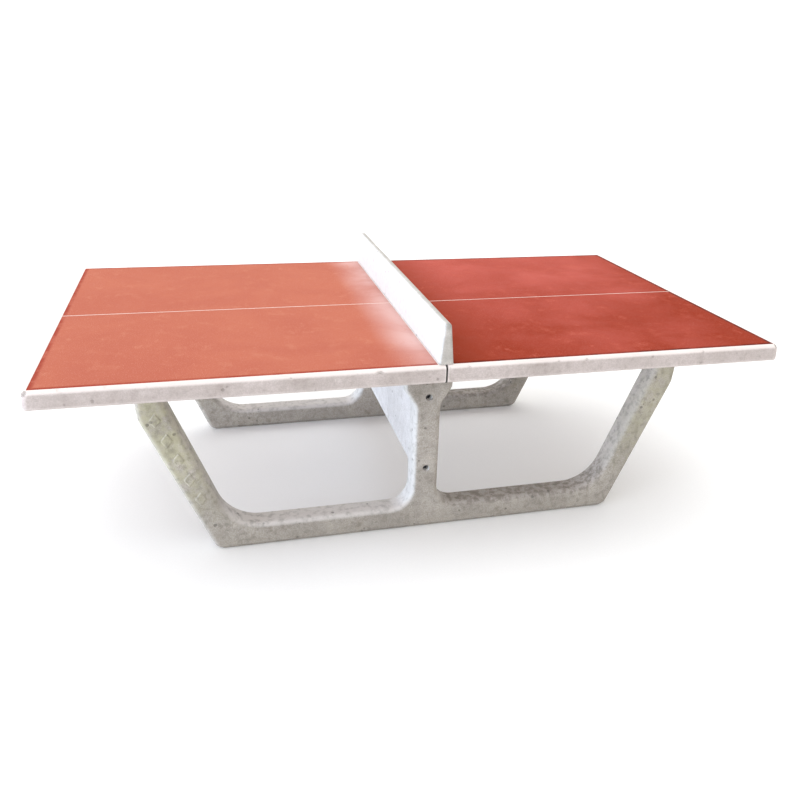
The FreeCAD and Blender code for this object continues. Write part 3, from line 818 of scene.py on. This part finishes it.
def roundedEnds(end, radius, spacing):
    # (y, inset) stations: a quarter round at each end and even steps between
    quarter = [(end - radius * (1 - math.cos(a)), radius * (1 - math.sin(a)))
               for a in np.linspace(0.12, math.pi / 2, 7)]
    steps = int(2 * (end - radius) / spacing)
    inner = [((end - radius) * (1 - 2 * i / steps), 0.0) for i in range(1, steps)]
    return [(-y, inset) for y, inset in quarter + inner] + quarter[::-1]


def castNet(sizes):
    low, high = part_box("net_wall")
    foot, top = sizes["footWidth"] / 2, sizes["topWidth"] / 2
    shoulder = high.z - top
    rings, sideSteps = [], sizes["sideSteps"]
    for y, inset in roundedEnds(high.y, sizes["endRound"], sizes["spacing"]):
        halfTop, halfFoot = top - inset, foot - inset
        right = [(halfFoot + (halfTop - halfFoot) * i / sideSteps, low.z + (shoulder - low.z) * i / sideSteps)
                 for i in range(sideSteps)]
        crown = [(halfTop * math.cos(a), shoulder + halfTop * math.sin(a)) for a in np.linspace(0, math.pi, 15)]
        footRow = [(halfFoot * t, low.z) for t in (-0.6, -0.2, 0.2, 0.6)]
        outline = right + crown + [(-x, z) for x, z in reversed(right)] + footRow
        rings.append([(x, y, z) for x, z in outline])
    return loftedMesh("netCasting", rings)


def castCrossWall(sizes):
    low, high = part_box("cross_wall")
    half, bevel, arris = sizes["width"] / 2, sizes["lowerBevel"], sizes["arris"]
    rings = []
    for y, inset in roundedEnds(high.y, sizes["endRound"], sizes["spacing"]):
        h = half - inset
        lowZ = low.z + inset
        right = [(h * 0.5, lowZ), (h - bevel - arris, lowZ), (h - bevel, lowZ + arris * 0.15),
                 (h - bevel * 0.5, lowZ + bevel * 0.5), (h - arris * 0.15, lowZ + bevel),
                 (h, lowZ + bevel + arris)]
        right += [(h, lowZ + (high.z - lowZ) * t) for t in np.linspace(0.05, 0.97, sizes["sideSteps"])]
        right += [(h, high.z - arris), (h - arris * 0.3, high.z - arris * 0.3), (h - arris, high.z),
                  (h * 0.5, high.z)]
        rings.append([(x, y, z) for x, z in right + [(-x, z) for x, z in reversed(right)]])
    return loftedMesh("crossWallCasting", rings)


for shape, sizes, material, slotName, nodeName in (
        (castNet(netSizes), netSizes, netConcrete, "net_concrete", "net_wall"),
        (castCrossWall(wallSizes), wallSizes, litWallConcrete, "wall_concrete", "cross_wall")):
    piece = newObject(shape.name, shape)
    giveCastSkin(piece, sizes, sizes["seed"], material)
    bakeModifiers(piece)
    holdInside(piece.data, nodeName)
    markWear(piece.data, sizes["sharpestEdge"])
    finishPiece(piece, sizes["sharpAngle"], slotName, nodeName)
    print("stage 5:", piece.name, len(piece.data.polygons), "faces")


lozengeSizes = {
    "count": 5, "width": 0.044, "height": 0.058, "proud": 0.003, "bury": 0.003, "round": 0.006, "seed": 2,
}
boltSizes = {
    "headDiameter": 0.018, "headHeight": 0.012, "keyWidth": 0.010, "keyDepth": 0.006, "bevel": 0.0012,
    "washerDiameter": 0.024, "washerThickness": 0.0025, "boreDiameter": 0.0125, "shankDiameter": 0.012,
    "shankLength": 0.1135, "seat": 0.032, "turnSpread": 0.5, "seed": 4,
}


def lozengeMesh(sizes):
    # a diamond with rounded tips and a soft upper arris, its back buried in the frame's face
    rings = []
    proud = sizes["proud"]
    steps = ((0.0, sizes["bury"]), (0.0, 0.0), (0.0015, -proud * 0.45), (0.0035, -proud * 0.82),
             (0.0055, -proud * 0.97), (0.0075, -proud))
    for inset, out in steps:
        w, h = sizes["width"] / 2 - inset * 1.3, sizes["height"] / 2 - inset * 1.6
        tips = [Vector((w, 0)), Vector((0, h)), Vector((-w, 0)), Vector((0, -h))]
        ring = []
        for k, tip in enumerate(tips):
            before, after = tips[k - 1], tips[(k + 1) % 4]
            start = tip + (before - tip).normalized() * sizes["round"]
            end = tip + (after - tip).normalized() * sizes["round"]
            for t in np.linspace(0, 1, 6):
                ring.append(start * (1 - t) ** 2 + tip * 2 * t * (1 - t) + end * t ** 2)
            for t in (0.33, 0.66):
                ring.append(end + (after + (tip - after).normalized() * sizes["round"] - end) * t)
        rings.append([(p.x, out, p.y) for p in ring])
    return loftedMesh("lozenge", rings)


def keyRing(width, y, count=48):
    # a hexagon of this width across flats, with as many points as a round ring
    ring = []
    for i in range(count):
        angle = 2 * math.pi * i / count
        turn = (angle % (math.pi / 3)) - math.pi / 6
        radius = width / 2 / math.cos(turn)
        ring.append((radius * math.cos(angle), y, radius * math.sin(angle)))
    return ring


def boltMesh(sizes):
    # a socket-head bolt along Y: the head's underside is at 0 and its key pocket opens towards -Y
    head, shank, bevel = sizes["headDiameter"] / 2, sizes["shankDiameter"] / 2, sizes["bevel"]
    top = -sizes["headHeight"]
    key, length = sizes["keyWidth"], sizes["shankLength"]
    rings = [roundRing(radius, y) for radius, y in (
        (shank - 0.001, length), (shank, length - 0.001), (shank, 0.0008), (shank + 0.0008, 0.0),
        (head - 0.0005, 0.0), (head, -0.0005), (head, top + bevel),
        (head - bevel * 0.35, top + bevel * 0.3), (head - bevel, top))]
    rings += [keyRing(width, y) for width, y in (
        (key + 0.0012, top), (key, top + 0.0006), (key, top + sizes["keyDepth"]))]
    return loftedMesh("bolt", rings)


def washerMesh(sizes):
    outer, bore, thick = sizes["washerDiameter"] / 2, sizes["boreDiameter"] / 2, sizes["washerThickness"]
    rings = [roundRing(radius, y) for radius, y in (
        (bore, thick), (bore, 0.0), (outer - 0.0005, 0.0), (outer, 0.0005), (outer, thick - 0.0002),
        (outer - 0.0004, thick), (bore, thick))]
    return loftedMesh("washer", rings, False, False)


rowSharpAngle = 35


def setRow(name, shape, values, slotName, *nodes):
    piece = newObject(name, shape)
    giveModifier(piece, rowOnBothFrames, values)
    bakeModifiers(piece)
    finishPiece(piece, rowSharpAngle, slotName, *nodes)
    print("stage 6:", name, len(piece.data.polygons), "faces")


def raisedEnds():
    # the middles of the lowest and highest lozenge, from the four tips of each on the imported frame
    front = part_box("front_frame")[0].y
    tips = {(round(v.co.x, 5), round(v.co.z, 5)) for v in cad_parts["front_frame"].data.vertices
            if v.co.y < front + 0.0001}
    tips = sorted(tips, key=lambda tip: tip[1])
    return [Vector((sum(x for x, z in group) / 4, 0, sum(z for x, z in group) / 4))
            for group in (tips[:4], tips[-4:])]


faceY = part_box("front_frame")[0].y + lozengeSizes["proud"]
seatY = faceY + boltSizes["seat"]
lower, upper = frameSizes["bolts"]
firstLozenge, lastLozenge = raisedEnds()
setRow("armLozenges", lozengeMesh(lozengeSizes), {
    "Count": lozengeSizes["count"], "First Place": (firstLozenge.x, faceY, firstLozenge.z),
    "Last Place": (lastLozenge.x, faceY, lastLozenge.z),
    "Seed": lozengeSizes["seed"], "Finish": frameConcrete}, "frame_concrete")
washerY = seatY - boltSizes["washerThickness"]
for name, shape, turnSpread, nodeName in (
        ("columnBolts", boltMesh(boltSizes), boltSizes["turnSpread"], "frame_bolts"),
        ("columnWashers", washerMesh(boltSizes), 0.0, "bolt_washers")):
    setRow(name, shape, {
        "Count": len(frameSizes["bolts"]), "First Place": (0.0, washerY, lower),
        "Last Place": (0.0, washerY, upper), "Turn Spread": turnSpread, "Seed": boltSizes["seed"],
        "Finish": galvanisedSteel},
        "galvanised_steel", nodeName)


stageSizes = {
    "floorRings": (0.5, 2.0, 6.0, 12.0), "floorDrop": 0.0005,
    "camera": (-0.8264, -3.2731, 1.7871), "yaw": 15.609, "pitch": -14.564, "roll": 2.285,
    "lens": 36.25, "shift": (-0.02125, -0.1625),
}


def layFloor(sizes):
    # pale matt studio floor, with the faint unevenness of painted board
    rings = [[(x, y, -sizes["floorDrop"]) for x, _, y in roundRing(radius, 0.0, 96)]
             for radius in sizes["floorRings"]]
    floor = newObject("studioFloor", loftedMesh("studioFloor", rings, True, False))
    material, tree, place = startMaterial("mattStudioPaint")
    roller = addNode(tree, "ShaderNodeTexNoise", {"Vector": place, "Scale": patternScale(8.0), "Detail": 3.0})
    colour = layOn(tree, hexColour("#FAFAF9"), (roller, 0.3, 0.7, 1.0, hexColour("#FCFCFB")))
    rough = addNode(tree, "ShaderNodeMapRange", {0: roller, 1: 0.3, 2: 0.7, 3: 0.85, 4: 0.95}, **eased)
    finishMaterial(tree, colour, rough, roller, 0.0002, IOR=1.5)
    floor.data.materials.append(material)


def softLight(name, place, aim, width, height, watts, colour):
    light = bpy.data.lights.new(name, "AREA")
    light.shape = "RECTANGLE"
    light.size, light.size_y = width, height
    light.energy = watts
    light.color = hexColour(colour)[:3]
    lamp = newObject(name, light)
    lamp.location = place
    lamp.rotation_euler = (Vector(aim) - Vector(place)).to_track_quat("-Z", "Y").to_euler()
    lamp.visible_camera = False


def lightRoom():
    # a white room, brightest at the back and left, where its soft wall lights stand
    world = bpy.data.worlds.new("whiteStudio")
    world.use_nodes = True
    tree = world.node_tree
    tree.nodes.clear()
    toward = addNode(tree, "ShaderNodeTexCoord").outputs["Generated"]
    facing = addNode(tree, "ShaderNodeVectorMath", {0: toward, 1: (-0.45, 0.89, 0.0)}, operation="DOT_PRODUCT")
    strength = addNode(tree, "ShaderNodeMapRange", {0: facing, 1: -0.7, 2: 0.5, 3: 1.0, 4: 1.4}, **eased)
    room = addNode(tree, "ShaderNodeBackground", {"Color": hexColour("#FFFFFF"), "Strength": strength})
    addNode(tree, "ShaderNodeOutputWorld", {0: room})
    bpy.context.scene.world = world
    softLight("leftSoftbox", (-9.0, -2.0, 1.1), (0.0, 0.0, 0.45), 8.0, 2.2, 700.0, "#D6E4FF")
    softLight("topSoftbox", (0.0, 1.5, 7.0), (0.0, 1.5, 0.0), 12.0, 12.0, 200.0, "#FFFFFF")


def setCamera(sizes):
    camera = bpy.data.cameras.new("camera")
    camera.lens = sizes["lens"]
    camera.sensor_width = 36.0
    camera.shift_x, camera.shift_y = sizes["shift"]
    camera.clip_end = 100.0
    holder = newObject("camera", camera)
    yaw, pitch, roll = (math.radians(sizes[key]) for key in ("yaw", "pitch", "roll"))
    ahead = Vector((math.sin(yaw) * math.cos(pitch), math.cos(yaw) * math.cos(pitch), math.sin(pitch)))
    right = Vector((math.cos(yaw), -math.sin(yaw), 0))
    up = right.cross(ahead)
    right, up = (right * math.cos(roll) + up * math.sin(roll), up * math.cos(roll) - right * math.sin(roll))
    turned = Matrix((right, up, -ahead)).transposed().to_4x4()
    holder.matrix_world = Matrix.Translation(sizes["camera"]) @ turned
    bpy.context.scene.camera = holder


layFloor(stageSizes)
lightRoom()
setCamera(stageSizes)
bpy.context.scene.view_settings.view_transform = "Standard"
print("stage 7: floor, light and camera set")
